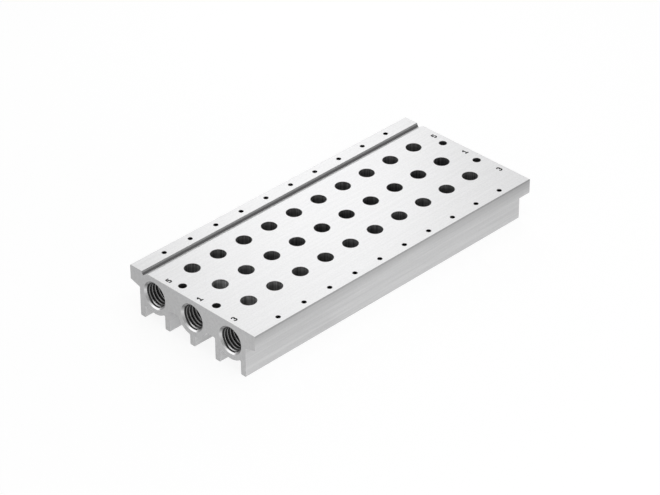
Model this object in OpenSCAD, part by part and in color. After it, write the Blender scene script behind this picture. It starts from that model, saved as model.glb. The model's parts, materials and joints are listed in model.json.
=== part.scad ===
// Manifold rail: an extruded aluminium bar with three through channels and five legs.
// Ten valve stations are drilled into its top face, and each channel is threaded at both ends.
// X runs along the rail, Y across it and Z up.
// The origin is at the middle of the rail, on the plane that its feet stand on.
// All sizes are in millimetres.

/* [Rail] */
// Number of valve stations along the rail
stations = 10; // [2:1:14]
// Distance from one station's centre line to the next
station_pitch = 22; // [20:0.5:26]
// Distance from the last station's centre line to the end face
end_margin = 24.2; // [22:0.1:34]
// Height of the rail from its feet to its top face
rail_h = 33.5; // [30:0.5:40]

/* [Lips] */
// How far a lip stands out past the outer leg
lip_w = 8.3; // [6.6:0.1:11]
// Thickness of a lip at its outer edge
lip_t = 10.2; // [8:0.1:11.5]
// Thickness of a lip where it meets the outer leg
lip_root_t = 12.6; // [12:0.1:14]
// Rounding of the lips' outer corners
lip_r = 0.3; // [0.2:0.1:1.5]

/* [Channels] */
// Distance from the middle channel to each side channel
channel_spacing = 33.6; // [31.6:0.1:34.4]
// Distance from the top face down to the channels' centre lines
channel_depth = 13.1; // [12:0.1:15]
// Diameter of a channel between its threaded ends
channel_d = 15; // [11:0.1:16]
// Outer diameter of the round wall about a channel
tube_d = 26.6; // [24:0.2:27.6]

/* [Threaded ends] */
// Outer diameter of the thread at each end of a channel
thread_d = 16.66; // [16.2:0.02:17.8]
// Depth of the threaded end below the end face
thread_depth = 14; // [10:0.5:16]
// Width of the countersink round the mouth of the thread
countersink = 1.4; // [0.4:0.1:2]

/* [Web and legs] */
// Thickness of the web between the middle channel and the inner legs
web_t = 17.8; // [16:0.2:21]
// Thickness of each of the five legs
leg_t = 4.2; // [3:0.1:5.4]
// Rounding of the corners at the foot of a leg
foot_r = 0.5; // [0.2:0.1:1.4]
// Radius of the coves where legs, lips, web and round walls meet
cove_r = 0.8; // [0.5:0.1:2.5]

/* [Valve stations] */
// Diameter of a port hole in the top face
port_d = 10.3; // [8:0.1:11]
// How far each outer row of port holes lies inside the centre line of the channel under it
port_offset = 8.6; // [7.4:0.1:10]
// Outer diameter of the thread for a valve's screw
screw_d = 3; // [2:0.1:3.6]
// Distance from a lip's edge to its row of screw holes
screw_inset = 5.2; // [3:0.1:5.4]
// Shift of each screw row along the rail, one row each way, so that a valve goes on one way round
screw_skew = 0.4; // [0:0.1:1.2]

/* [Mounting holes] */
// Diameter of the four through holes at the ends of the rail
mount_d = 5.3; // [4:0.1:6]
// Distance from an end face to the centre lines of its mounting holes
mount_inset = 6.8; // [5:0.1:8]
// Distance from a mounting hole's centre line to the inner leg beside it
mount_leg_gap = 5.3; // [4.4:0.1:6.4]

/* [Label groove] */
// Distance from the lip's edge to the groove's outer edge
groove_inset = 10.4; // [9:0.1:11]
// Width of the groove at the top face
groove_w = 5.5; // [4.5:0.1:6.5]
// Depth of the groove
groove_depth = 2.8; // [1.5:0.1:3.4]
// How far the groove's outer wall leans in from its top edge to its bottom
groove_lean = 1.4; // [0.2:0.1:2]
// Radius of the groove's bottom
groove_r = 0.7; // [0.2:0.1:1]

/* [Hidden] */
$fn = 96;

// How far a cutter runs past the face that it opens
over = 1;
// How deep a cove's filler reaches into the round wall beside it
bury = 1;
// How far a cove's arc cuts into that wall's circle, so that the two cross and don't only touch
cove_bite = 0.02;
// Half of the included angle of a twist drill's point
drill_half_angle = 59;

rail_len = (stations - 1) * station_pitch + 2 * end_margin;
tube_r = tube_d / 2;
cove_reach = tube_r + cove_r - cove_bite;
channel_z = rail_h - channel_depth;
web_z = rail_h - web_t;
lip_root_z = rail_h - lip_root_t;
lip_edge_z = rail_h - lip_t;
port_r = port_d / 2;
port_point = port_r / tan(drill_half_angle);

// The legs stand flush with the sides of the round walls
outer_leg_y = channel_spacing + tube_r - leg_t;
inner_leg_y = channel_spacing - tube_r;
middle_leg_y = -leg_t / 2;
mount_y = inner_leg_y - mount_leg_gap;

// Corners of the lip at +Y, and the outer leg's outer face
outer_face_y = outer_leg_y + leg_t;
half_w = outer_face_y + lip_w;
lip_top = [half_w, rail_h];
lip_edge = [half_w, lip_edge_z];
lip_root = [outer_face_y, lip_root_z];

// The groove's edges and bottom, as places across the rail
groove_out_y = half_w - groove_inset;
groove_in_y = groove_out_y - groove_w;
groove_low_y = groove_out_y - groove_lean;
groove_low_z = rail_h - groove_depth;

// Places of the channels and of the holes across the rail, and of the stations along it
channel_ys = [-channel_spacing, 0, channel_spacing];
port_row_y = channel_spacing - port_offset;
screw_row_y = half_w - screw_inset;
station_xs = [for (i = [0:stations - 1]) (i - (stations - 1) / 2) * station_pitch];

// Unit vector from one point to another
function unit(from, to) = (to - from) / norm(to - from);
// Distance from corner p, with a and b on its two sides, to where an arc of radius r meets those sides
function arc_run(p, a, b, r) = r / tan(acos(unit(p, a) * unit(p, b)) / 2);
// Centre of that arc
function arc_centre(p, a, b, r) =
    p + unit([0, 0], unit(p, a) + unit(p, b)) * norm([arc_run(p, a, b, r), r]);

// What lies between a corner and the arc of radius r that is tangent to both of its sides.
// Added to an inner corner it is a cove, and taken from an outer corner it rounds it.
// Its tip runs past the corner, so that none of its flat sides lies on a face of the bar.
module corner_fill(p, a, b, r) {
    run = arc_run(p, a, b, r);
    centre = arc_centre(p, a, b, r);
    tip = p - unit(p, centre) * over;
    difference() {
        polygon([tip, p + unit(p, a) * run, centre, p + unit(p, b) * run]);
        translate(centre) circle(r);
    }
}

// A cove between a flat face and a round wall, where buried is a point inside both of them.
// Its filler reaches into the wall, and its arc crosses the wall's circle at a very flat angle.
module wall_cove(buried, on_flat, centre, wall_y) {
    wall_centre = [wall_y, channel_z];
    in_wall = wall_centre + unit(wall_centre, centre) * (tube_r - bury);
    difference() {
        polygon([buried, on_flat, centre, in_wall]);
        translate(centre) circle(cove_r);
    }
}

// The cove between a round wall's underside and the side face of a leg.
// side is 1 where the leg lies on the -Y side of the cove, and -1 where it lies on the +Y side.
module leg_cove(wall_y, face_y, side) {
    centre_y = face_y + side * cove_r;
    centre_z = channel_z - sqrt(pow(cove_reach, 2) - pow(centre_y - wall_y, 2));
    meet_z = channel_z - sqrt(pow(tube_r, 2) - pow(face_y - wall_y, 2));
    wall_cove([face_y - side * bury, meet_z + bury], [face_y, centre_z], [centre_y, centre_z], wall_y);
}

// The cove between the middle round wall and the underside of the web
module web_cove() {
    centre_z = web_z - cove_r;
    centre_y = sqrt(pow(cove_reach, 2) - pow(channel_z - centre_z, 2));
    meet_y = sqrt(pow(tube_r, 2) - pow(channel_z - web_z, 2));
    wall_cove([meet_y - bury, web_z + bury], [centre_y, web_z], [centre_y, centre_z], 0);
}

// The deck with its two lips, which grow thinner towards their edges
module deck_profile() {
    polygon([
        [half_w, rail_h],
        [-half_w, rail_h],
        [-half_w, lip_edge_z],
        [-outer_face_y, lip_root_z],
        [outer_face_y, lip_root_z],
        [half_w, lip_edge_z]
    ]);
}

// The thick web that joins the middle channel to the inner legs, from the middle of one leg to the other's
module web_profile() {
    reach = inner_leg_y + leg_t / 2;
    translate([-reach, web_z]) square([2 * reach, web_t - over]);
}

// The round wall about the middle channel, as far up as the deck
module middle_wall_profile() {
    intersection() {
        translate([0, channel_z]) circle(tube_r);
        translate([-tube_r, 0]) square([tube_d, lip_root_z + over]);
    }
}

// The round wall under a side channel, from leg to leg and as far up as the deck
module side_wall_profile() {
    intersection() {
        translate([channel_spacing, channel_z]) circle(tube_r);
        translate([inner_leg_y + leg_t / 2, 0]) square([tube_d - leg_t, lip_root_z + over]);
    }
}

// One leg with its foot's corners rounded, from the feet up into the deck
module leg_profile(y) {
    left = [y, 0];
    right = [y + leg_t, 0];
    top = [0, lip_root_z + over];
    difference() {
        translate(left) square([leg_t, lip_root_z + over]);
        corner_fill(left, right, left + top, foot_r);
        corner_fill(right, left, right + top, foot_r);
    }
}

// One outline, with Y to the right and Z up, extruded along the whole rail
module along() {
    rotate([90, 0, 90]) linear_extrude(height = rail_len, center = true) children();
}

// What is the same on both sides of the rail
module both_sides() {
    children();
    mirror([0, 1, 0]) children();
}

// All that stands on one side of the middle wall, under the deck
module side_body() {
    along() side_wall_profile();
    along() leg_profile(outer_leg_y);
    along() leg_profile(inner_leg_y);
    along() corner_fill(lip_root, [outer_face_y, 0], lip_edge, cove_r);
    along() corner_fill([inner_leg_y, web_z], [inner_leg_y, 0], [0, web_z], cove_r);
    along() leg_cove(channel_spacing, outer_leg_y, -1);
    along() leg_cove(channel_spacing, inner_leg_y + leg_t, 1);
    along() leg_cove(0, -middle_leg_y, 1);
    along() web_cove();
}

// What rounds the two outer corners of a lip
module lip_rounding() {
    along() corner_fill(lip_top, [0, rail_h], lip_edge, lip_r);
    along() corner_fill(lip_edge, lip_top, lip_root, lip_r);
}

// The cutter for the label groove: a steep outer wall, a rounded bottom and a shallow inner slope
module groove() {
    outer_top = [groove_out_y, rail_h];
    inner_top = [groove_in_y, rail_h];
    low = [groove_low_y, groove_low_z];
    run = arc_run(low, outer_top, inner_top, groove_r);
    centre = arc_centre(low, outer_top, inner_top, groove_r);
    along() polygon([
        outer_top,
        outer_top + [0, over],
        inner_top + [0, over],
        inner_top,
        low + unit(low, inner_top) * run,
        centre,
        low + unit(low, outer_top) * run
    ]);
    along() translate(centre) circle(groove_r);
}

// The extruded bar, before any hole is drilled
module bar() {
    difference() {
        union() {
            along() deck_profile();
            along() web_profile();
            along() middle_wall_profile();
            along() leg_profile(middle_leg_y);
            both_sides() side_body();
        }
        both_sides() lip_rounding();
        groove();
        for (y = channel_ys) along() translate([y, channel_z]) circle(channel_d / 2);
    }
}

// The cutter for one threaded end, with its mouth at x = 0 and its bottom towards +X
module threaded_end() {
    rotate([0, 90, 0]) {
        cylinder(r = thread_d / 2, h = thread_depth);
        translate([0, 0, -over])
            cylinder(r1 = thread_d / 2 + countersink + over, r2 = thread_d / 2, h = countersink + over);
    }
}

// The cutters for both ends of the three channels
module threaded_ends() {
    for (y = channel_ys)
        for (end = [0, 1])
            mirror([end, 0, 0])
                translate([-rail_len / 2, y, channel_z]) threaded_end();
}

// The cutter for one port hole, drilled from the top face to the height of the channels' centre lines
module port_hole() {
    translate([0, 0, channel_z]) {
        cylinder(r = port_r, h = channel_depth + over);
        translate([0, 0, -port_point]) cylinder(r1 = 0, r2 = port_r, h = port_point);
    }
}

// The cutter for one screw hole, right through the lip
module screw_hole() {
    translate([0, 0, lip_root_z - over]) cylinder(r = screw_d / 2, h = lip_root_t + 2 * over);
}

// The cutters for one valve station: three port holes and two screw holes
module station() {
    for (row = [-1:1]) translate([0, row * port_row_y, 0]) port_hole();
    for (side = [-1, 1])
        translate([-side * screw_skew, side * screw_row_y, 0]) screw_hole();
}

// The cutters for the four holes that hold the rail down
module mounting_holes() {
    for (x = [-1, 1])
        for (y = [-1, 1])
            translate([x * (rail_len / 2 - mount_inset), y * mount_y, web_z - over])
                cylinder(r = mount_d / 2, h = web_t + 2 * over);
}

// The rail: one extruded bar, drilled and threaded
module manifold_rail() {
    color("gainsboro") difference() {
        bar();
        threaded_ends();
        for (x = station_xs) translate([x, 0, 0]) station();
        mounting_holes();
    }
}

manifold_rail();
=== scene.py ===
# %% [markdown]
# # A manifold rail of extruded aluminium
#
# The object is one bar. It was pressed through a die, sawn to length, ground flat on top, then
# drilled and threaded. The imported model already holds its true shape, so this script keeps that
# shape and works on what the eye reads as metal: the finish of each face and hole, with light and
# shade painted into the colour at many places, soft edges, the thread ridges in the six channel
# ends, and the small port numbers beside them.
#
# Everything is in metres, in the frame of the model: X along the rail, Y across it and Z up, with
# the origin under the middle of the rail on the plane of its feet.

# %% Load the frame
import math

import bpy
from mathutils import Matrix, Vector
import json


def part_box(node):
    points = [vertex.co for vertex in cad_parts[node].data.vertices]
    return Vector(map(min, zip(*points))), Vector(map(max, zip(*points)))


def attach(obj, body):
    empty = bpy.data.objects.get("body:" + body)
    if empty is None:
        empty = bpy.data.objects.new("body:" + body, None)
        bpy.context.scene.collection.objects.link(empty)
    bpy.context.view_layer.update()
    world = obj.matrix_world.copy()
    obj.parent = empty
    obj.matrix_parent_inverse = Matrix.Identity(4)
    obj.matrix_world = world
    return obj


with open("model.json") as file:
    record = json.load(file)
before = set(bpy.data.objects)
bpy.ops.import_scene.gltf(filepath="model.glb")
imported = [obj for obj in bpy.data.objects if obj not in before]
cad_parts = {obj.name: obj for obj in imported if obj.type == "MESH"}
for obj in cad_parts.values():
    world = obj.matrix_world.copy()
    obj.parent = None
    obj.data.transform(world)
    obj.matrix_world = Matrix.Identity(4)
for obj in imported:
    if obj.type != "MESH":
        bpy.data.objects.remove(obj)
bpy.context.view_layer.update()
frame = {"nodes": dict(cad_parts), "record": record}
rail = frame["nodes"]["manifold_rail"]
rail_low, rail_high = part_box("manifold_rail")
MM = 0.001
print("rail from", [round(v / MM, 1) for v in rail_low],
      "to", [round(v / MM, 1) for v in rail_high], "mm")

# %% [markdown]
# ## Reading places from the model
#
# The six threaded ends, the mounting holes and the screw holes of the ten stations stand in the
# model's record as mounts, each with a place, an axis and its sizes. A number typed twice can drift
# apart, so the threads and the finishes round the holes take their places from these mounts.

# %% Places of the ports, the stations and the mounting holes
mounts = frame["record"]["mounts"]
ports = [m for m in mounts if m["kind"] == "threaded_hole"]
near_ports = [port for port in ports if port["axis"][0] < 0]
stations = [m for m in mounts if m["name"].startswith("station_")]
mounting = next(m for m in mounts if m["name"] == "mounting_holes")["dims"]
thread_radius = ports[0]["dims"]["r_mm"] * MM
channel_height = ports[0]["pos_m"][2]
print(len(ports), "threaded ports and", len(stations), "valve stations")

# %% [markdown]
# ## The camera
#
# The photograph looks down on the near end from well away, with a long lens, so the edges of the
# rail hardly converge. A camera is easiest to place the way a photographer thinks: pick the spot to
# aim at, walk back from it by an azimuth and an elevation, and choose the lens that frames the
# object. The slight roll is the tilt of the photograph itself.

# %% Camera
AIM = Vector((-23.36 * MM, -19.3 * MM, rail_high.z))
CAMERA_AZIMUTH = math.radians(-45.164)
CAMERA_ELEVATION = math.radians(33.623)
CAMERA_ROLL = math.radians(-0.176)
CAMERA_DISTANCE = 1837.5 * MM
LENS = 161.33
SENSOR_WIDTH = 36.0
FAR_CLIP = 20.0


def add_object(name, data):
    """A new object in the scene."""
    added = bpy.data.objects.new(name, data)
    bpy.context.scene.collection.objects.link(added)
    return added


def away_from_aim(azimuth, elevation):
    """Unit vector from the object towards a viewer at that azimuth and elevation."""
    flat = math.cos(elevation)
    return Vector((math.sin(azimuth) * flat, -math.cos(azimuth) * flat, math.sin(elevation)))


camera_data = bpy.data.cameras.new("camera")
camera_data.lens = LENS
camera_data.sensor_width = SENSOR_WIDTH
camera_data.sensor_fit = "HORIZONTAL"
camera_data.clip_end = FAR_CLIP
camera = add_object("camera", camera_data)
back = away_from_aim(CAMERA_AZIMUTH, CAMERA_ELEVATION)
tilt = back.to_track_quat("Z", "Y").to_matrix() @ Matrix.Rotation(CAMERA_ROLL, 3, "Z")
camera.matrix_world = Matrix.Translation(AIM + back * CAMERA_DISTANCE) @ tilt.to_4x4()
bpy.context.scene.camera = camera
print("camera at", [round(v / MM) for v in camera.matrix_world.translation], "mm")

# %% [markdown]
# ## A small kit for shader nodes
#
# Materials below are built in code, and most of that code is adding nodes and joining sockets. A
# few helpers keep it short. An input that is given as a socket gets linked, and one that is given
# as a number or colour gets set. The smooth map range eases in and out, which suits anything that
# fades on a surface.

# %% Helpers for nodes
def add_node(tree, kind, settings=None, **inputs):
    """A new node, with its settings and inputs filled in.

    The name of an input has _ for each space, or is i and the input's number.
    """
    node = tree.nodes.new(kind)
    for name, value in (settings or {}).items():
        setattr(node, name, value)
    for name, value in inputs.items():
        key = int(name[1:]) if name[0] == "i" and name[1:].isdigit() else name.replace("_", " ")
        if isinstance(value, bpy.types.NodeSocket):
            tree.links.new(value, node.inputs[key])
        else:
            node.inputs[key].default_value = value
    return node


def math_node(tree, operation, *values):
    """The result of one sum or comparison on one to three values."""
    return add_node(tree, "ShaderNodeMath", {"operation": operation},
                    **{f"i{i}": v for i, v in enumerate(values)}).outputs[0]


def map_smooth(tree, value, low, high, to_low=0.0, to_high=1.0):
    """A value carried smoothly from one range to another, and held at its ends."""
    node = add_node(tree, "ShaderNodeMapRange", {"interpolation_type": "SMOOTHSTEP"}, Value=value,
                    From_Min=low, From_Max=high, To_Min=to_low, To_Max=to_high)
    return node.outputs["Result"]


def map_evenly(tree, value, low, high):
    """A value carried evenly from one range to 0 and 1, and held at its ends."""
    node = add_node(tree, "ShaderNodeMapRange", Value=value, From_Min=low, From_Max=high)
    return node.outputs["Result"]


def scaled(tree, vector, factor):
    """A place or colour times a number."""
    return add_node(tree, "ShaderNodeVectorMath", {"operation": "SCALE"}, Vector=vector,
                    Scale=factor).outputs["Vector"]


def coordinates(tree, vector):
    """The X, Y and Z of a place or direction."""
    return add_node(tree, "ShaderNodeSeparateXYZ", Vector=vector).outputs


def blend(tree, mask, under, over):
    """Two values or two colours mixed by a mask."""
    # The Mix node keeps its two values as inputs 2 and 3, and its two colours as 6 and 7.
    is_value = isinstance(under, float) or getattr(under, "type", "") == "VALUE"
    first = 2 if is_value else 6
    node = add_node(tree, "ShaderNodeMix", {"data_type": "FLOAT" if is_value else "RGBA"}, i0=mask,
                    **{f"i{first}": under, f"i{first + 1}": over})
    return node.outputs[0 if is_value else 2]


# %% Helpers for noise
NOISE_LOW, NOISE_HIGH = 0.3, 0.7


def noise(tree, vector, scale, detail, roughness=0.5):
    """Cloudy noise about 0.5. Nearly all of it lies between NOISE_LOW and NOISE_HIGH."""
    return add_node(tree, "ShaderNodeTexNoise", Vector=vector, Scale=scale, Detail=detail,
                    Roughness=roughness).outputs["Fac"]


def spread(tree, noise_value, low, high):
    """Noise spread from one value to another."""
    return map_smooth(tree, noise_value, NOISE_LOW, NOISE_HIGH, low, high)


# %% Helpers for groups and materials
FLOAT, VECTOR = "NodeSocketFloat", "NodeSocketVector"


def new_group(name, inputs, outputs):
    """An empty node group with named inputs and outputs, and its two end nodes."""
    tree = bpy.data.node_groups.new(name, "ShaderNodeTree")
    for socket_name, (kind, value) in inputs.items():
        socket = tree.interface.new_socket(socket_name, in_out="INPUT", socket_type=kind)
        if value is not None:
            socket.default_value = value
    for socket_name, kind in outputs.items():
        tree.interface.new_socket(socket_name, in_out="OUTPUT", socket_type=kind)
    start = tree.nodes.new("NodeGroupInput")
    end = tree.nodes.new("NodeGroupOutput")
    return tree, start.outputs, end.inputs


def use_group(tree, group, **inputs):
    """A group placed in a material or in another group, with its inputs filled in."""
    return add_node(tree, "ShaderNodeGroup", {"node_tree": group}, **inputs).outputs


def new_material(name):
    """A new material, its node tree and its Principled shader."""
    material = bpy.data.materials.new(name)
    material.use_nodes = True
    return material, material.node_tree, material.node_tree.nodes["Principled BSDF"]


COOL_TINT = 1.006


def grey(value):
    """A neutral metal grey, a touch cooler than white."""
    return (value, value, value * COOL_TINT, 1.0)


def ramp(tree, value, stops):
    """An even run of greys through stops, each a value and a brightness."""
    low, high = stops[0][0], stops[-1][0]
    node = add_node(tree, "ShaderNodeValToRGB", Fac=map_evenly(tree, value, low, high))
    elements = node.color_ramp.elements
    while len(elements) < len(stops):
        elements.new(0.5)  # its true place is set below
    for element, (stop, brightness) in zip(elements, stops):
        element.position = (stop - low) / (high - low)
        element.color = grey(brightness)
    return node.outputs["Color"]


# %% [markdown]
# ## Where each finish lies
#
# One bar carries many finishes. The top is ground after extrusion and the two ends are milled. The
# outer skin and the legs are as they left the die. The holes are drilled, and their mouths at the
# ends are turned to a cone. Light and shade are also painted into the colour at several places:
# the dark steep wall of the label groove, the dark hole walls and rims are painted shade, and the
# tones of the countersinks are painted reflections. Painting all these by hand would need a
# texture. Here a group reads the place and the direction of each point of the surface instead, and
# puts out one mask for each finish and each painted place, which stays sharp at any distance.

# %% Helpers for masks
def all_of(tree, *masks):
    """A mask that is 1 where every one of the masks is 1."""
    result = masks[0]
    for mask in masks[1:]:
        result = math_node(tree, "MULTIPLY", result, mask)
    return result


def any_of(tree, *masks):
    """A mask that is 1 where at least one of the masks is 1."""
    result = masks[0]
    for mask in masks[1:]:
        result = math_node(tree, "MAXIMUM", result, mask)
    return result


def below(tree, value, limit):
    """A mask that is 1 where the value lies below a limit."""
    return math_node(tree, "LESS_THAN", value, limit)


def above(tree, value, limit):
    """A mask that is 1 where the value lies above a limit."""
    return math_node(tree, "GREATER_THAN", value, limit)


def within(tree, value, low, high):
    """A mask that is 1 where the value lies between two limits."""
    return all_of(tree, above(tree, value, low), below(tree, value, high))


def diagonal(tree, a, b):
    """The length of the diagonal over two sides."""
    return math_node(tree, "SQRT", math_node(tree, "ADD", math_node(tree, "MULTIPLY", a, a),
                                             math_node(tree, "MULTIPLY", b, b)))


# %% The group and its measures, in millimetres
TOP_Z = rail_high.z / MM
END_X = rail_high.x / MM
SIDE_Y = rail_high.y / MM

finish_and_shade_zones, _, zones_out = new_group("finish zones", {}, {
    "Millimetres": VECTOR, "Depth": FLOAT, "End depth": FLOAT, "Turn": FLOAT,
    "Ground": FLOAT, "Milled": FLOAT, "Top edge": FLOAT, "Hole rim": FLOAT, "Mouth": FLOAT,
    "Groove wall": FLOAT, "Groove floor": FLOAT,
    "Drilled": FLOAT, "Narrow hole": FLOAT, "Mounting hole": FLOAT})
zt = finish_and_shade_zones  # short, because nearly every line of the group names it
place = add_node(zt, "ShaderNodeTexCoord").outputs
millimetres = scaled(zt, place["Object"], 1 / MM)
spot = coordinates(zt, millimetres)
facing = coordinates(zt, place["Normal"])
along = math_node(zt, "ABSOLUTE", spot["X"])
across = math_node(zt, "ABSOLUTE", spot["Y"])
endward = math_node(zt, "ABSOLUTE", facing["X"])
depth = math_node(zt, "SUBTRACT", TOP_Z, spot["Z"])
end_depth = math_node(zt, "SUBTRACT", END_X, along)
print("top at", round(TOP_Z, 2), "ends at", round(END_X, 2), "sides at", round(SIDE_Y, 2), "mm")

# %% [markdown]
# The three channels are the centres of much of the work at the ends, so two more measures are taken
# from them: how far a point stands from the nearest channel's axis, and where it stands on the turn
# round that axis. The turn is read from the direction of the surface, in degrees. At the near end
# it starts at the +Y side and counts upwards, so that the bottom of a countersink is at -90.

# %% Distance and turn round the channels
def from_channel(channel_y):
    """Distance from a channel's axis."""
    return diagonal(zt, math_node(zt, "SUBTRACT", spot["Y"], channel_y),
                    math_node(zt, "SUBTRACT", spot["Z"], channel_height / MM))


channel_distances = [from_channel(port["pos_m"][1] / MM) for port in near_ports]
to_channel = math_node(zt, "MINIMUM", channel_distances[0],
                       math_node(zt, "MINIMUM", channel_distances[1], channel_distances[2]))
outward = math_node(zt, "SIGN", spot["X"])
rise = math_node(zt, "MULTIPLY", facing["Z"], -1.0)
sideways = math_node(zt, "MULTIPLY", facing["Y"], outward)
turn = math_node(zt, "DEGREES", math_node(zt, "ARCTAN2", rise, sideways))
print("channels at", [round(port["pos_m"][1] / MM, 1) for port in near_ports], "mm")

# %% [markdown]
# The flat faces are told by their place and by the way they face. A point counts as lying in a face
# when it is within a hair of it. Two of the top's edges, at the near end and on the -Y side, have a
# narrow duller band, as the photograph shows. The cones and the groove are told by their depth and
# by their slope.

# %% Masks of the faces, the countersinks and the label groove
TOUCH = 0.05  # a point this near to a face lies in it
FACING = 0.9  # a surface turned to an axis by more than this share is square to it
SLOPE = 0.3  # and one turned to it by less than this share runs along it
END_EDGE, SIDE_EDGE = 0.28, 0.4  # widths of the duller band
COUNTERSINK_DEPTH = 1.4
MOUTH_REACH = 10.2  # just outside the countersinks' outer radius
GROOVE_DEPTH = 2.9  # just under the groove's bottom
GROOVE_FROM, GROOVE_TO = 38.0, 45.0  # across the rail
GROOVE_FACING = 0.12  # how far the steep wall turns to -Y at least

ground = all_of(zt, below(zt, depth, TOUCH), above(zt, facing["Z"], FACING))
milled = all_of(zt, above(zt, along, END_X - TOUCH), above(zt, endward, FACING))
end_band = below(zt, spot["X"], END_EDGE - END_X)
side_band = below(zt, spot["Y"], SIDE_EDGE - SIDE_Y)
top_edge = all_of(zt, ground, any_of(zt, end_band, side_band))
mouth = all_of(zt, within(zt, along, END_X - COUNTERSINK_DEPTH, END_X - TOUCH),
               within(zt, endward, SLOPE, FACING), below(zt, to_channel, MOUTH_REACH))
groove = all_of(zt, within(zt, depth, TOUCH, GROOVE_DEPTH),
                within(zt, spot["Y"], GROOVE_FROM, GROOVE_TO), below(zt, endward, FACING))
groove_wall = all_of(zt, groove, below(zt, facing["Y"], -GROOVE_FACING))
print("masks so far take", len(zt.nodes), "nodes")

# %% [markdown]
# The walls of the holes are told by their depth and by how far from the middle they stand. The
# screw holes are narrow and the threaded ends are closed in by ridges, so these two get a mask of
# their own, and so do the mounting holes, which lie past the last station.

# %% Masks of the hole walls
STATION_PITCH = (stations[1]["pos_m"][0] - stations[0]["pos_m"][0]) / MM
PAST_STATIONS = stations[-1]["pos_m"][0] / MM + STATION_PITCH / 2
SCREW_ROW = stations[0]["dims"]["spacing_y_mm"] / 2
SCREW_REACH = 1.7  # just outside a screw hole's radius
LIP_DEPTH = 12.4  # just under the lips
DECK_DEPTH, DECK_REACH = 17.6, 31.0  # the port holes and mounting holes lie within these
BORE_REACH = 8.5  # just outside the threads' radius
THREAD_END_DEPTH = 13.4

wall = below(zt, math_node(zt, "ABSOLUTE", facing["Z"]), SLOPE)
bore = below(zt, to_channel, BORE_REACH)
deck_hole = all_of(zt, wall, within(zt, depth, TOUCH, DECK_DEPTH), below(zt, across, DECK_REACH))
screw_hole = all_of(zt, wall, within(zt, depth, TOUCH, LIP_DEPTH),
                    within(zt, across, SCREW_ROW - SCREW_REACH, SCREW_ROW + SCREW_REACH))
threaded = all_of(zt, bore, below(zt, end_depth, THREAD_END_DEPTH))
narrow_hole = any_of(zt, screw_hole, threaded)
mounting_hole = all_of(zt, deck_hole, above(zt, along, PAST_STATIONS))
drilled = all_of(zt, any_of(zt, bore, deck_hole, screw_hole),
                 below(zt, along, END_X - COUNTERSINK_DEPTH))
print("stations every", round(STATION_PITCH, 2), "mm, screw rows at", SCREW_ROW, "mm")

# %% [markdown]
# A thin dark rim is painted on the ground top round each hole. It is painted shade that widens the
# dark of the hole. The holes repeat at every station, so the distance to the nearest one comes from
# the place folded back by the pitch, and no hole needs a node of its own. The two rows of screw
# holes are shifted a little along the rail, one each way.

# %% Mask of the rims of the holes
PORT_ROW = 25.0
PORT_HOLE_RADIUS = 5.15
SCREW_SKEW = 0.4
RIM, SCREW_RIM = 0.14, 0.22  # widths of the dark rims


def from_station(x):
    """Distance along the rail from the nearest station. They lie at odd halves of the pitch."""
    pitches = math_node(zt, "FRACT", math_node(zt, "DIVIDE", x, STATION_PITCH))
    return math_node(zt, "MULTIPLY", math_node(zt, "SUBTRACT", pitches, 0.5), STATION_PITCH)


def from_rows(*rows):
    """Distance across the rail from the nearest of one or two pairs of rows."""
    gaps = [math_node(zt, "ABSOLUTE", math_node(zt, "SUBTRACT", across, row)) for row in rows]
    return gaps[0] if len(gaps) == 1 else math_node(zt, "MINIMUM", *gaps)


skew = math_node(zt, "MULTIPLY", math_node(zt, "SIGN", spot["Y"]), SCREW_SKEW)
to_port_hole = diagonal(zt, from_station(spot["X"]), from_rows(0.0, PORT_ROW))
to_screw = diagonal(zt, from_station(math_node(zt, "ADD", spot["X"], skew)), from_rows(SCREW_ROW))
to_mounting = diagonal(zt, math_node(zt, "SUBTRACT", along, mounting["spacing_x_mm"] / 2),
                       from_rows(mounting["spacing_y_mm"] / 2))
station_rim = any_of(zt, below(zt, to_port_hole, PORT_HOLE_RADIUS + RIM),
                     below(zt, to_screw, stations[0]["dims"]["hole_r_mm"] + SCREW_RIM))
station_rim = all_of(zt, station_rim, below(zt, along, PAST_STATIONS))
mounting_rim = below(zt, to_mounting, mounting["hole_r_mm"] + RIM)
# painted shade: a dark rim on the top round each hole
hole_rim_shade = all_of(zt, ground, any_of(zt, station_rim, mounting_rim))
print("rims", RIM, "mm wide, and", SCREW_RIM, "mm round the screw holes")

# %% Outputs of the group
zone_results = {
    "Millimetres": millimetres, "Depth": depth, "End depth": end_depth, "Turn": turn,
    "Ground": ground, "Milled": milled, "Top edge": top_edge, "Hole rim": hole_rim_shade, "Mouth": mouth,
    "Groove wall": groove_wall, "Groove floor": groove,
    "Drilled": drilled, "Narrow hole": narrow_hole, "Mounting hole": mounting_hole}
for socket_name, result in zone_results.items():
    zt.links.new(result, zones_out[socket_name])
print("group", zt.name, "with", len(zt.nodes), "nodes")

# %% [markdown]
# ## Lines along the rail
#
# A die and a grinding wheel both leave long fine lines along the rail. Noise that is squeezed
# across the rail and stretched along it gives such lines. A picture of brushed metal would give
# them too, but it repeats and goes soft close up. Two layers are mixed, a fine one and a broad one,
# because real lines come in bundles of unequal depth.

# %% Group for drawn lines
LINES_PER_MM, LINE_LENGTH = 4.0, 60.0
FINE_LAYER = {"share": 1.0, "detail": 3.0}
BROAD_LAYER = {"share": 0.12, "detail": 2.0}
FINE_WEIGHT, BROAD_WEIGHT = 0.6, 0.4
LINE_NOISE_ROUGHNESS = 0.6

drawn_lines, lines_in, lines_out = new_group(
    "drawn lines",
    {"Millimetres": (VECTOR, None), "Per millimetre": (FLOAT, LINES_PER_MM),
     "Length": (FLOAT, LINE_LENGTH)},
    {"Height": FLOAT, "Bundles": FLOAT})
lt = drawn_lines  # short, as above
scale_along = math_node(lt, "DIVIDE", 1.0, lines_in["Length"])


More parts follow.
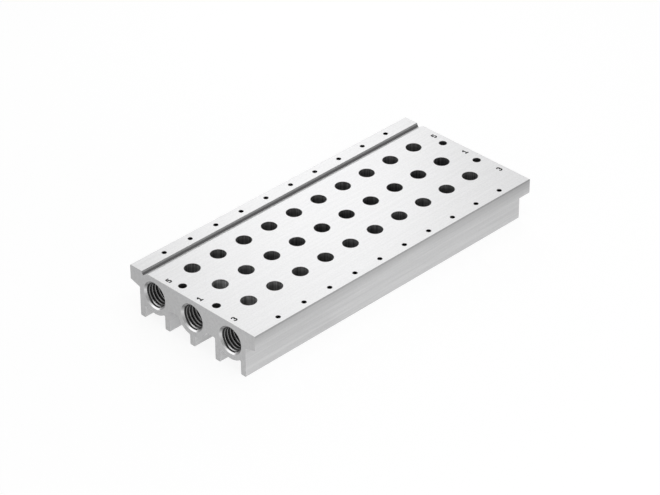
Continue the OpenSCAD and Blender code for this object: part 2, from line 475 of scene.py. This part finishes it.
def stretched_noise(share, detail):
    """Noise drawn out along X, at a share of the group's number of lines for each millimetre."""
    scale_across = math_node(lt, "MULTIPLY", lines_in["Per millimetre"], share)
    scale = add_node(lt, "ShaderNodeCombineXYZ", X=scale_along, Y=scale_across, Z=scale_across)
    vector = add_node(lt, "ShaderNodeVectorMath", {"operation": "MULTIPLY"},
                      i0=lines_in["Millimetres"], i1=scale.outputs["Vector"]).outputs["Vector"]
    return noise(lt, vector, 1.0, detail, LINE_NOISE_ROUGHNESS)


fine = stretched_noise(**FINE_LAYER)
broad = stretched_noise(**BROAD_LAYER)
lt.links.new(math_node(lt, "ADD", math_node(lt, "MULTIPLY", fine, FINE_WEIGHT),
                       math_node(lt, "MULTIPLY", broad, BROAD_WEIGHT)), lines_out["Height"])
lt.links.new(broad, lines_out["Bundles"])
print("group", lt.name, "with", len(lt.nodes), "nodes")

# %% [markdown]
# ## Soft edges
#
# A deburred edge is rounded by about a tenth of a millimetre, and that round catches the light. The
# mesh has to stay as it is, so the Bevel node blends the normals across each edge instead. The
# angle between that blended normal and the true one is also a mask of where the edges are. The
# bar's colour is lifted there by a small share, which is a painted highlight.

# %% Group for soft edges
EDGE_RADIUS = 0.1 * MM
EDGE_SAMPLES = 6
FLAT_AGREEMENT, ROUND_AGREEMENT = 0.995, 0.8

soft_edges, _, edges_out = new_group("soft edges", {}, {"Normal": VECTOR, "Edge": FLOAT})
rounded = add_node(soft_edges, "ShaderNodeBevel", {"samples": EDGE_SAMPLES},
                   Radius=EDGE_RADIUS).outputs["Normal"]
true_normal = add_node(soft_edges, "ShaderNodeNewGeometry").outputs["Normal"]
agreement = add_node(soft_edges, "ShaderNodeVectorMath", {"operation": "DOT_PRODUCT"}, i0=rounded,
                     i1=true_normal).outputs["Value"]
soft_edges.links.new(rounded, edges_out["Normal"])
soft_edges.links.new(map_smooth(soft_edges, agreement, FLAT_AGREEMENT, ROUND_AGREEMENT),
                     edges_out["Edge"])
print("group", soft_edges.name, "with", len(soft_edges.nodes), "nodes")

# %% [markdown]
# ## The bar's aluminium
#
# Satin aluminium is somewhere between a mirror and chalk. Its surface is a metal, but it is rough
# enough to scatter most of the light, so a Principled shader with a part of Metallic and a middling
# Roughness comes closest. The colour is built up in layers, finishes and painted light and shade,
# one over the other, each through its mask.
#
# The lowest layer is the skin that the die left on the long sides. It is darkest just under the top
# edge and pale towards the feet, which is painted shade and light by height. Towards the far end it
# gets a little darker, the lips more than the legs, which is painted shade.

# %% Material of the bar, and the skin from the die
# the skin's tone with painted shade by height over it
SKIN_TONE_AND_SHADE_STOPS = ((0.0, 0.36), (0.7, 0.43), (1.5, 0.54), (2.5, 0.55), (5.0, 0.59), (8.5, 0.66),
              (12.0, 0.64), (16.0, 0.65), (20.0, 0.69), (33.0, 0.69))  # depth in mm, brightness
LIP_FADE_DEPTH, LEG_FADE_DEPTH = 4.0, 12.0
LIP_FAR_SHADE, LEG_FAR_SHADE = 0.85, 0.96
FADE_FROM_X, FADE_TO_X = 30.0, 120.0

bar_metal, tree, shader = new_material("extruded_aluminium")
zones = use_group(tree, finish_and_shade_zones)
lines = use_group(tree, drawn_lines, Millimetres=zones["Millimetres"])
edges = use_group(tree, soft_edges)
at = coordinates(tree, zones["Millimetres"])

# painted shade: darker towards the far end, the lips more than the legs
far_shade = map_smooth(tree, zones["Depth"], LIP_FADE_DEPTH, LEG_FADE_DEPTH,
                      LIP_FAR_SHADE, LEG_FAR_SHADE)
fade = map_smooth(tree, at["X"], FADE_FROM_X, FADE_TO_X, 1.0, far_shade)
colour = scaled(tree, ramp(tree, zones["Depth"], SKIN_TONE_AND_SHADE_STOPS), fade)
print("skin from", SKIN_TONE_AND_SHADE_STOPS[0][1], "at the top to", SKIN_TONE_AND_SHADE_STOPS[-1][1], "at the feet")

# %% [markdown]
# The ground top is the palest of the broad faces, with its duller band at two edges. The milled
# ends are a step darker, and a little darker again towards their +Y side.

# %% Ground top and milled ends
GROUND_COLOUR = grey(0.80)
TOP_EDGE_COLOUR = grey(0.45)
MILLED_PLUS_Y, MILLED_MINUS_Y = grey(0.555), grey(0.60)
MILLED_FROM_Y, MILLED_TO_Y = 50.0, -50.0

colour = blend(tree, zones["Ground"], colour, GROUND_COLOUR)
colour = blend(tree, zones["Top edge"], colour, TOP_EDGE_COLOUR)
towards_minus_y = map_smooth(tree, at["Y"], MILLED_FROM_Y, MILLED_TO_Y)
milled_colour = blend(tree, towards_minus_y, MILLED_PLUS_Y, MILLED_MINUS_Y)
colour = blend(tree, zones["Milled"], colour, milled_colour)
print("top", GROUND_COLOUR[0], "and ends", MILLED_PLUS_Y[0], "to", MILLED_MINUS_Y[0])

# %% [markdown]
# Lines are what makes a bar look drawn rather than painted. Broad streaks, hairlines and a soft
# cloudy grain each lift and lower the tone by a few hundredths. The skin has the stronger lines,
# and the ground top the finer ones. All are factors near 1, so the tones above stay true on
# average.

# %% Streaks, hairlines and grain
STREAK_ON_SKIN, STREAK_ON_GROUND = (0.965, 1.015), (0.985, 1.015)
HAIRLINE_ON_SKIN, HAIRLINE_ON_GROUND = (0.93, 1.045), (0.975, 1.015)
GRAIN_ON_SKIN, GRAIN_ON_GROUND = (0.98, 1.02), (0.97, 1.03)
GRAIN_SCALE, GRAIN_DETAIL = 0.9, 2.0
EDGE_COLOUR = grey(0.86)
EDGE_HIGHLIGHT_SHARE = 0.12


def by_ground(on_skin, on_ground):
    """One value on the ground top and another one on everything else."""
    return blend(tree, zones["Ground"], on_skin, on_ground)


def unevenness(noise_value, on_skin, on_ground):
    """A factor that follows a noise, with limits for the skin and others for the ground top."""
    low, high = by_ground(on_skin[0], on_ground[0]), by_ground(on_skin[1], on_ground[1])
    return spread(tree, noise_value, low, high)


cloud = noise(tree, zones["Millimetres"], GRAIN_SCALE, GRAIN_DETAIL)
streaks = unevenness(lines["Bundles"], STREAK_ON_SKIN, STREAK_ON_GROUND)
hairlines = unevenness(lines["Height"], HAIRLINE_ON_SKIN, HAIRLINE_ON_GROUND)
grain = unevenness(cloud, GRAIN_ON_SKIN, GRAIN_ON_GROUND)
colour = scaled(tree, colour, all_of(tree, streaks, hairlines, grain))
# a painted highlight along the soft edges
colour = blend(tree, math_node(tree, "MULTIPLY", edges["Edge"], EDGE_HIGHLIGHT_SHARE), colour, EDGE_COLOUR)
print("hairlines from", HAIRLINE_ON_SKIN[0], "to", HAIRLINE_ON_SKIN[1], "of the skin's tone")

# %% [markdown]
# The label groove has one steep wall, a rounded bottom and one shallow slope. The steep wall faces
# -Y and sees little light, so it is dark, most of all low down. The shallow slope lies open to the
# sky and is nearly white. Light that has bounced about in so narrow a place takes a very long
# render, so these tones are set by masks.

# %% Label groove
GROOVE_FLOOR_COLOUR = grey(0.97)
GROOVE_UPPER_COLOUR, GROOVE_LOWER_COLOUR = grey(0.26), grey(0.11)
GROOVE_UPPER_DEPTH, GROOVE_LOWER_DEPTH = 0.9, 1.4

colour = blend(tree, zones["Groove floor"], colour, GROOVE_FLOOR_COLOUR)
lowness = map_smooth(tree, zones["Depth"], GROOVE_UPPER_DEPTH, GROOVE_LOWER_DEPTH)
groove_colour = blend(tree, lowness, GROOVE_UPPER_COLOUR, GROOVE_LOWER_COLOUR)
colour = blend(tree, zones["Groove wall"], colour, groove_colour)
print("groove", GROOVE_UPPER_COLOUR[0], "to", GROOVE_LOWER_COLOUR[0], "on its steep wall")

# %% [markdown]
# A countersink is a small turned cone, which mirrors another part of the room at each point of its
# ring. It is bright at the bottom, where it throws back the light from above, and has a second
# glint at one side. A room full of lamps and cards could give that play, but it would change every
# other face too, so these reflections are painted: the stops of a colour ramp over the turn hold
# these tones. Two more painted marks sit at its inner edge. Low down is a dark line, painted shade
# where the first groove of the thread begins. Higher up is a paler lip, painted light.

# %% Countersinks
MOUTH_REFLECTION_STOPS = ((-180, 0.30), (-135, 0.40), (-119, 0.42), (-107, 0.98), (-75, 0.98), (-60, 0.70),
               (-45, 0.40), (-28, 0.41), (0, 0.77), (15, 0.43), (30, 0.19), (45, 0.26), (60, 0.34),
               (90, 0.42), (180, 0.30))  # turn in degrees, brightness
# painted shade for the narrow holes and the first groove of the thread
NARROW_SHADE_COLOUR = grey(0.012)
FIRST_GROOVE_DEPTHS = (0.9, 1.1)
FIRST_GROOVE_FROM = -112.0
FIRST_GROOVE_FADE = (-25.0, -60.0)
INNER_LIP_LIGHT_COLOUR = grey(0.7)
INNER_LIP_TURNS = (30.0, 60.0)
INNER_LIP_DEPTHS = (0.45, 0.85)

# painted reflections: a tone for each place round the turn
mouth_reflections = ramp(tree, zones["Turn"], MOUTH_REFLECTION_STOPS)
# painted light: a paler lip high on the cone
inner_lip_light = all_of(tree, map_smooth(tree, zones["Turn"], *INNER_LIP_TURNS),
                   map_smooth(tree, zones["End depth"], *INNER_LIP_DEPTHS))
mouth_reflections = blend(tree, inner_lip_light, mouth_reflections, INNER_LIP_LIGHT_COLOUR)
# painted shade: a dark line where the first groove of the thread begins
first_groove_shade = all_of(tree, above(tree, zones["Turn"], FIRST_GROOVE_FROM),
                      map_smooth(tree, zones["Turn"], *FIRST_GROOVE_FADE),
                      map_smooth(tree, zones["End depth"], *FIRST_GROOVE_DEPTHS))
mouth_reflections = blend(tree, first_groove_shade, mouth_reflections, NARROW_SHADE_COLOUR)
colour = blend(tree, zones["Mouth"], colour, mouth_reflections)
print("countersinks with", len(MOUTH_REFLECTION_STOPS), "stops round the turn")

# %% [markdown]
# The wall of a drilled hole is dark, because little light comes back out of it, and streaked down
# its length by the drill. That dark is painted shade, set by depth. The streaks are the wall's own.
# Noise that is squeezed round the wall and stretched down it gives these streaks. The wall that
# faces the near end is the brighter one. The holes next to the near corner are brighter all the way
# down, and the middle row is darker away from the near end, all of it painted light and shade.
# Screw holes and threaded ends are almost black and mounting holes are dark, which is painted
# shade too.

# %% Drilled walls
WALL_SHADE_STOPS = ((0.0, 0.10), (0.4, 0.14), (0.8, 0.19), (1.8, 0.265), (3.5, 0.175), (6.0, 0.17))
DRILL_SQUEEZE, DRILL_DETAIL = (1.1, 1.1, 0.04), 2.0
DRILL_STREAK = (0.65, 1.4)
# Each of these has the two limits of what is measured, and the two factors at those limits.
LIT_FACING, LIT_WALL = (-1.0, 0.1), (1.3, 0.8)
CORNER_REACH, CORNER_LIGHT = (-60.0, -98.0), (0.97, 1.75)
CORNER_SLANT = 0.9  # how much a millimetre of Y counts against one of X, towards the corner
MIDDLE_ROW_REACH, MIDDLE_ROW_LIGHT = (10.0, -70.0), (0.68, 1.2)
MOUNTING_SHADE_COLOUR = grey(0.09)
RIM_SHADE_COLOUR = grey(0.1)

squeezed = add_node(tree, "ShaderNodeVectorMath", {"operation": "MULTIPLY"},
                    i0=zones["Millimetres"], i1=DRILL_SQUEEZE).outputs["Vector"]
streak = spread(tree, noise(tree, squeezed, 1.0, DRILL_DETAIL), *DRILL_STREAK)
direction = coordinates(tree, add_node(tree, "ShaderNodeTexCoord").outputs["Normal"])
sidelight = map_smooth(tree, direction["X"], *LIT_FACING, *LIT_WALL)
cornerwise = math_node(tree, "ADD", at["X"], math_node(tree, "MULTIPLY", at["Y"], CORNER_SLANT))
corner_light = map_smooth(tree, cornerwise, *CORNER_REACH, *CORNER_LIGHT)
middle_row = below(tree, math_node(tree, "ABSOLUTE", at["Y"]), PORT_ROW / 2)
row_light = blend(tree, middle_row, 1.0,
                  map_smooth(tree, at["X"], *MIDDLE_ROW_REACH, *MIDDLE_ROW_LIGHT))
# painted shade by depth, painted light by facing, corner and row, times the drill's streaks
wall_streaks_and_shade = scaled(tree, ramp(tree, zones["Depth"], WALL_SHADE_STOPS),
                     all_of(tree, streak, sidelight, corner_light, row_light))
# painted shade: screw holes and threaded ends near black, mounting holes dark
wall_streaks_and_shade = blend(tree, zones["Narrow hole"], wall_streaks_and_shade, NARROW_SHADE_COLOUR)
wall_streaks_and_shade = blend(tree, zones["Mounting hole"], wall_streaks_and_shade, MOUNTING_SHADE_COLOUR)
colour = blend(tree, zones["Drilled"], colour, wall_streaks_and_shade)
# painted shade round the holes, on the top face
colour = blend(tree, zones["Hole rim"], colour, RIM_SHADE_COLOUR)
tree.links.new(colour, shader.inputs["Base Color"])
print("hole walls brightest at", max(WALL_SHADE_STOPS, key=lambda stop: stop[1])[0], "mm below the top")

# %% [markdown]
# Colour alone doesn't make metal. Roughness says how wide the glints spread: the turned cones are
# the sharpest and the milled ends the dullest. Metallic is partial on the satin faces. It is full
# in the narrow holes, which keeps them dark, and on the bright bottom of the cones, which mirror
# most. The lines return here as a small change of roughness and as a shallow bump, laid over the
# soft edges.

# %% Sheen and fine lines of the bar
SKIN_ROUGHNESS, GROUND_ROUGHNESS, MILLED_ROUGHNESS, MOUTH_ROUGHNESS = 0.46, 0.40, 0.5, 0.3
LINE_ROUGHNESS = 0.04
SATIN_METALLIC, BRIGHT_METALLIC = 0.6, 1.0
MOUTH_BOTTOM_STARTS, MOUTH_BOTTOM_ENDS = (-120.0, -108.0), (-62.0, -78.0)
LINE_BUMP, LINE_BUMP_DEPTH = 0.08, 0.02 * MM

roughness = by_ground(SKIN_ROUGHNESS, GROUND_ROUGHNESS)
roughness = blend(tree, zones["Milled"], roughness, MILLED_ROUGHNESS)
roughness = blend(tree, zones["Mouth"], roughness, MOUTH_ROUGHNESS)
line_roughness = spread(tree, lines["Height"], -LINE_ROUGHNESS, LINE_ROUGHNESS)
tree.links.new(math_node(tree, "ADD", roughness, line_roughness), shader.inputs["Roughness"])

mouth_bottom = all_of(tree, zones["Mouth"], map_smooth(tree, zones["Turn"], *MOUTH_BOTTOM_STARTS),
                      map_smooth(tree, zones["Turn"], *MOUTH_BOTTOM_ENDS))
dark_hole = all_of(tree, zones["Drilled"], zones["Narrow hole"])
metallic = blend(tree, any_of(tree, mouth_bottom, dark_hole), SATIN_METALLIC, BRIGHT_METALLIC)
tree.links.new(metallic, shader.inputs["Metallic"])

bump = add_node(tree, "ShaderNodeBump", Strength=LINE_BUMP, Distance=LINE_BUMP_DEPTH,
                Height=lines["Height"], Normal=edges["Normal"])
tree.links.new(bump.outputs["Normal"], shader.inputs["Normal"])
rail.data.materials.clear()
rail.data.materials.append(bar_metal)
print("material", bar_metal.name, "with", len(tree.nodes), "nodes")

# %% [markdown]
# ## Thread ridges
#
# Each end of a channel is threaded for a pipe fitting. The model has the plain bore at the thread's
# outer diameter, so the ridges are added here as real geometry, one helix for each port. A bump
# would show no crests against the dark of the bore, and a Screw modifier could not end the ridge in
# the cone, so it is built section by section: two flanks and a narrow crest, carried round the
# axis. The points stay just under the end face and the cone of the countersink, which cuts the
# first turn the way the real tool does. At the other end the ridge fades out over the last part of
# a turn.

# %% Section of the ridge
THREAD_PITCH = 2.46 * MM
THREAD_CREST_RADIUS = 7.5 * MM
FIRST_CREST_DEPTH = 0.5 * MM  # below the end face
CREST_FRONT, CREST_REAR = 0.16 * MM, 0.42 * MM  # the crest's reach to either side of its depth
ROOT_HALF_WIDTH = 1.0 * MM
BURY = 0.06 * MM  # how far the ridge is sunk under the bar's faces


def thread_section(depth, height):
    """The ridge's section at a depth below the end face, as pairs of depth and radius."""
    crest = thread_radius - (thread_radius - THREAD_CREST_RADIUS) * height
    foot = thread_radius + BURY
    section = [
        (depth - ROOT_HALF_WIDTH, foot),
        (depth - ROOT_HALF_WIDTH, thread_radius),
        (depth - CREST_FRONT, crest),
        (depth + CREST_REAR, crest),
        (depth + ROOT_HALF_WIDTH, thread_radius),
        (depth + ROOT_HALF_WIDTH, foot),
    ]
    cone = thread_radius + COUNTERSINK_DEPTH * MM + BURY
    return [(max(d, BURY), max(r, cone - max(d, BURY))) for d, r in section]


# %% Mesh of one thread
STEPS_PER_TURN = 72
RUN_OUT_TURNS = 0.6


def thread_mesh(name):
    """A helical ridge about the X axis, from the end face at x = 0 towards +X."""
    turns = (THREAD_END_DEPTH * MM - FIRST_CREST_DEPTH) / THREAD_PITCH
    steps = round(turns * STEPS_PER_TURN)
    points, faces = [], []
    for step in range(steps + 1):
        turn_now = step / STEPS_PER_TURN
        height = min(1.0, (turns - turn_now) / RUN_OUT_TURNS)
        angle = 2 * math.pi * turn_now
        for depth, radius in thread_section(FIRST_CREST_DEPTH + turn_now * THREAD_PITCH, height):
            points.append((depth, radius * math.cos(angle), radius * math.sin(angle)))
    ring = len(points) // (steps + 1)
    for step in range(steps):
        for side in range(ring):
            a = step * ring + side
            b = step * ring + (side + 1) % ring
            faces.append((a, b, b + ring, a + ring))
    faces.append(tuple(reversed(range(ring))))
    faces.append(tuple(range(steps * ring, (steps + 1) * ring)))
    mesh = bpy.data.meshes.new(name)
    mesh.from_pydata(points, [], faces)
    mesh.validate()
    return mesh


# %% [markdown]
# Little light gets between the turns of a thread, so in the photograph it is black with thin grey
# crests. The distance from the axis tells the two apart, and the crest is the part that comes
# closest to it. Light from above falls on the lower side of the first turns, where a cut flank
# mirrors it, so there the crest is bright and takes in some of its flank.

# %% Thread material
# painted shade on the flanks, and a painted highlight on the lit crests
CREST_COLOUR, LIT_COLOUR, FLANK_SHADE_COLOUR = grey(0.36), grey(0.95), grey(0.022)
CREST_FADE, LIT_FADE = 0.3, 0.7
CREST_FOOT, CREST_TOP = 1.0, 0.15
LIT_SIDE = (0.74, 1.0)
LIT_DEPTHS, LIT_SHARES = (4.8, 2.4), (0.15, 1.0)
THREAD_METALLIC = 0.8
THREAD_ROUGHNESS = (0.26, 0.36)
CHATTER_SCALE, CHATTER_DETAIL = 900.0, 2.0

thread_metal, tree, shader = new_material("cut_thread")
shader.inputs["Metallic"].default_value = THREAD_METALLIC
place = add_node(tree, "ShaderNodeTexCoord").outputs
from_port = coordinates(tree, scaled(tree, place["Object"], 1 / MM))
from_axis = diagonal(tree, from_port["Y"], from_port["Z"])
underside = math_node(tree, "DIVIDE", math_node(tree, "MULTIPLY", from_port["Z"], -1.0), from_axis)
lit = all_of(tree, map_smooth(tree, underside, *LIT_SIDE),
             map_smooth(tree, from_port["X"], *LIT_DEPTHS, *LIT_SHARES))
reach = blend(tree, lit, CREST_FADE, LIT_FADE)
past_crest = math_node(tree, "SUBTRACT", from_axis, THREAD_CREST_RADIUS / MM)
crest = map_smooth(tree, math_node(tree, "DIVIDE", past_crest, reach), CREST_FOOT, CREST_TOP)
crest_colour = blend(tree, lit, CREST_COLOUR, LIT_COLOUR)
tree.links.new(blend(tree, crest, FLANK_SHADE_COLOUR, crest_colour), shader.inputs["Base Color"])
chatter = noise(tree, place["Object"], CHATTER_SCALE, CHATTER_DETAIL)
tree.links.new(spread(tree, chatter, *THREAD_ROUGHNESS), shader.inputs["Roughness"])
edges = use_group(tree, soft_edges)
tree.links.new(edges["Normal"], shader.inputs["Normal"])
print("material", thread_metal.name, "with", len(tree.nodes), "nodes")

# %% Threads in the six ports
for port in ports:
    _, y, z = port["pos_m"]
    outward = port["axis"][0]
    thread = add_object(port["name"] + "_thread", thread_mesh(port["name"] + "_thread"))
    end_face = math.copysign(rail_high.x, outward)
    half_turn = Matrix.Rotation(math.pi if outward > 0 else 0.0, 4, "Z")
    thread.matrix_world = Matrix.Translation((end_face, y, z)) @ half_turn
    thread.data.materials.append(thread_metal)
    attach(thread, "root")
print(len(ports), "threads,", len(thread.data.polygons), "faces each")

# %% [markdown]
# ## Port numbers
#
# Small numbers are marked on the top beside the ports: 5, 1 and 3, which are the usual numbers for
# the two exhausts and the supply. A font would bring its own look, so each number is drawn as one
# or two strokes, a few points with round bends, and given the width of the marking tool. The mark
# is a skin of two hundredths of a millimetre that stands on the face, so it has real edges and
# shows from any side.

# %% Strokes of the numbers
NUMERAL_HEIGHT = 3.6 * MM
STROKE_WIDTH = 0.96 * MM
MARK_THICKNESS = 0.02 * MM
NUMERAL_INSET = 4.6 * MM
NUMERAL_PLACES = {"5": 25.0 * MM, "1": -2.6 * MM, "3": -32.8 * MM}


def arc_points(cx, cy, rx, ry, start, end, count=10):
    """Points along an ellipse's arc, in degrees."""
    angles = [math.radians(start + (end - start) * i / count) for i in range(count + 1)]
    return [(cx + rx * math.cos(a), cy + ry * math.sin(a)) for a in angles]


# Points of each stroke, in shares of the number's height, from 0 at its foot to 1 at its head.
NUMERAL_STROKES = {
    "1": [[(-0.27, 0.74), (0.0, 1.0), (0.0, 0.0)],
          [(-0.28, 0.0), (0.28, 0.0)]],
    "5": [[(0.27, 1.0), (-0.22, 1.0), (-0.26, 0.56)]
          + arc_points(-0.02, 0.32, 0.3, 0.32, 128, -140)],
    "3": [arc_points(-0.02, 0.76, 0.26, 0.24, 150, -80)
          + arc_points(-0.02, 0.27, 0.3, 0.27, 80, -150)],
}
print("strokes for", ", ".join(NUMERAL_STROKES))

# %% Mesh of one number
ROUND_END_SIDES = 16


def add_slab(points, faces, outline):
    """A plate of the mark's thickness over an outline, added to a mesh's points and faces."""
    base, count = len(points), len(outline)
    points.extend((x, y, 0.0) for x, y in outline)
    points.extend((x, y, MARK_THICKNESS) for x, y in outline)
    faces.append(tuple(range(base + count, base + 2 * count)))
    faces.append(tuple(reversed(range(base, base + count))))
    for i in range(count):
        j = (i + 1) % count
        faces.append((base + i, base + j, base + count + j, base + count + i))


def band_outline(start, end, half_width):
    """The four corners of a straight band, in counterclockwise order."""
    side = (end - start).normalized().orthogonal() * half_width
    corners = [start - side, end - side, end + side, start + side]
    area = sum(p.x * q.y - q.x * p.y for p, q in zip(corners, corners[1:] + corners[:1]))
    return [tuple(corner) for corner in (corners if area > 0 else reversed(corners))]


def stroke_mesh(name, strokes):
    """Flat bands of the marking tool's width along each stroke, with round ends and bends."""
    points, faces = [], []
    half = STROKE_WIDTH / 2
    last_angle = 360.0 * (ROUND_END_SIDES - 1) / ROUND_END_SIDES
    for stroke in strokes:
        path = [Vector((x, y - 0.5)) * NUMERAL_HEIGHT for x, y in stroke]
        for centre in path:
            add_slab(points, faces,
                     arc_points(*centre, half, half, 0, last_angle, ROUND_END_SIDES - 1))
        for start, end in zip(path, path[1:]):
            add_slab(points, faces, band_outline(start, end, half))
    mesh = bpy.data.meshes.new(name)
    mesh.from_pydata(points, [], faces)
    mesh.validate()
    return mesh


# %% [markdown]
# The marking is a thin dull layer, near black. A fine speckle keeps it from looking like a hole in
# the metal.

# %% Marking material
MARK_DARK, MARK_PALE = (0.006, 0.006, 0.006, 1.0), (0.02, 0.02, 0.021, 1.0)
SPECKLE_SCALE, SPECKLE_DETAIL = 2500.0, 2.0
MARK_ROUGHNESS = (0.55, 0.75)
MARK_SPECULAR = 0.2

marking, tree, shader = new_material("dark_marking")
place = add_node(tree, "ShaderNodeTexCoord").outputs
speckle = noise(tree, place["Object"], SPECKLE_SCALE, SPECKLE_DETAIL)
tree.links.new(blend(tree, speckle, MARK_DARK, MARK_PALE), shader.inputs["Base Color"])
tree.links.new(spread(tree, speckle, *MARK_ROUGHNESS), shader.inputs["Roughness"])
shader.inputs["Specular IOR Level"].default_value = MARK_SPECULAR
print("material", marking.name, "with", len(tree.nodes), "nodes")

# %% Numbers at both ends
for end_name, side in (("near", -1), ("far", 1)):
    for numeral, y in NUMERAL_PLACES.items():
        name = f"number_{numeral}_{end_name}"
        mark = add_object(name, stroke_mesh(name, NUMERAL_STROKES[numeral]))
        x = side * (rail_high.x - NUMERAL_INSET)
        mark.matrix_world = Matrix.Translation((x, y, rail_high.z))
        mark.data.materials.append(marking)
        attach(mark, "root")
print("numbers at", [round(y / MM, 1) for y in NUMERAL_PLACES.values()], "mm across the rail")

# %% [markdown]
# ## Floor
#
# The photograph shows the rail on pure white. More lamps would burn out the metal before the floor
# turned white, so the floor helps itself: to the camera and to mirror-like rays it adds a little
# light of its own, and to all other rays it is plain pale card. Its shading still darkens under the
# rail, which keeps a soft contact shadow.

# %% Floor
FLOOR_HALF = 3.0
FLOOR_GAP = 0.02 * MM  # so that the feet and the floor don't lie in one plane
CARD_COLOUR = (0.8, 0.8, 0.8, 1.0)
SEEN_CARD_COLOUR = (0.24, 0.24, 0.24, 1.0)
SEEN_GLOW = 0.85
CARD_ROUGHNESS = 0.9
WHITE = (1.0, 1.0, 1.0, 1.0)


def seen_directly(tree):
    """A mask of the camera's rays, and of rays that mirror or pass through something."""
    rays = add_node(tree, "ShaderNodeLightPath").outputs
    return any_of(tree, rays["Is Camera Ray"], rays["Is Glossy Ray"], rays["Is Transmission Ray"])


corners = [(-FLOOR_HALF, -FLOOR_HALF, 0), (FLOOR_HALF, -FLOOR_HALF, 0), (FLOOR_HALF, FLOOR_HALF, 0),
           (-FLOOR_HALF, FLOOR_HALF, 0)]
floor_mesh = bpy.data.meshes.new("floor")
floor_mesh.from_pydata(corners, [], [(0, 1, 2, 3)])
floor = add_object("floor", floor_mesh)
floor.location.z = -FLOOR_GAP
floor_card, tree, shader = new_material("floor_card")
seen = seen_directly(tree)
tree.links.new(blend(tree, seen, CARD_COLOUR, SEEN_CARD_COLOUR), shader.inputs["Base Color"])
shader.inputs["Roughness"].default_value = CARD_ROUGHNESS
shader.inputs["Specular IOR Level"].default_value = 0.0
shader.inputs["Emission Color"].default_value = WHITE
tree.links.new(math_node(tree, "MULTIPLY", seen, SEEN_GLOW), shader.inputs["Emission Strength"])
floor.data.materials.append(floor_card)
print("floor", 2 * FLOOR_HALF, "m wide")

# %% [markdown]
# ## Light
#
# A bright surround lights the rail from all round. Three soft lamps give it direction. A wide one
# overhead lights the whole top. A small weak one behind the far corner leaves a faint sheen that is
# strongest over the middle of the top and falls off towards its corners, as in the photograph. A
# low one in front keeps the long side a step lighter than the end, and fades along it. All of it
# together is set so that a pale card on the floor comes out about as pale as it is.

# %% World
WORLD_LIGHT, WORLD_SEEN = 0.42, 1.0

world = bpy.data.worlds.new("pale_studio")
bpy.context.scene.world = world
world.use_nodes = True
tree = world.node_tree
background = tree.nodes["Background"]
background.inputs["Color"].default_value = WHITE
strength = blend(tree, seen_directly(tree), WORLD_LIGHT, WORLD_SEEN)
tree.links.new(strength, background.inputs["Strength"])
print("world light", WORLD_LIGHT)

# %% Lamps
def soft_lamp(name, aim, azimuth, elevation, distance, width, height, power):
    """An area lamp that faces a spot of the rail. Angles are in degrees, lengths in metres."""
    data = bpy.data.lights.new(name, "AREA")
    data.shape = "RECTANGLE"
    data.size, data.size_y = width, height
    data.energy = power
    lamp = add_object(name, data)
    away = away_from_aim(math.radians(azimuth), math.radians(elevation))
    lamp.location = Vector(aim) + away * distance
    lamp.rotation_euler = away.to_track_quat("Z", "Y").to_euler()
    return lamp


lamps = [
    soft_lamp("overhead", aim=(0.0, 0.0, 0.03), azimuth=20, elevation=80, distance=1.4,
              width=1.2, height=1.2, power=3.6),
    soft_lamp("back", aim=(0.0, 0.025, 0.03), azimuth=135, elevation=36, distance=0.44,
              width=0.2, height=0.2, power=0.105),
    soft_lamp("front", aim=(-0.06, 0.0, 0.02), azimuth=-12, elevation=7, distance=0.9,
              width=0.8, height=0.18, power=1.6),
]
print("lamps:", ", ".join(f"{lamp.name} {lamp.data.energy:.3g} W" for lamp in lamps))

# %% [markdown]
# ## Colour management
#
# The Standard view shows a colour as it is written.

# %% Finish
bpy.context.scene.view_settings.view_transform = "Standard"
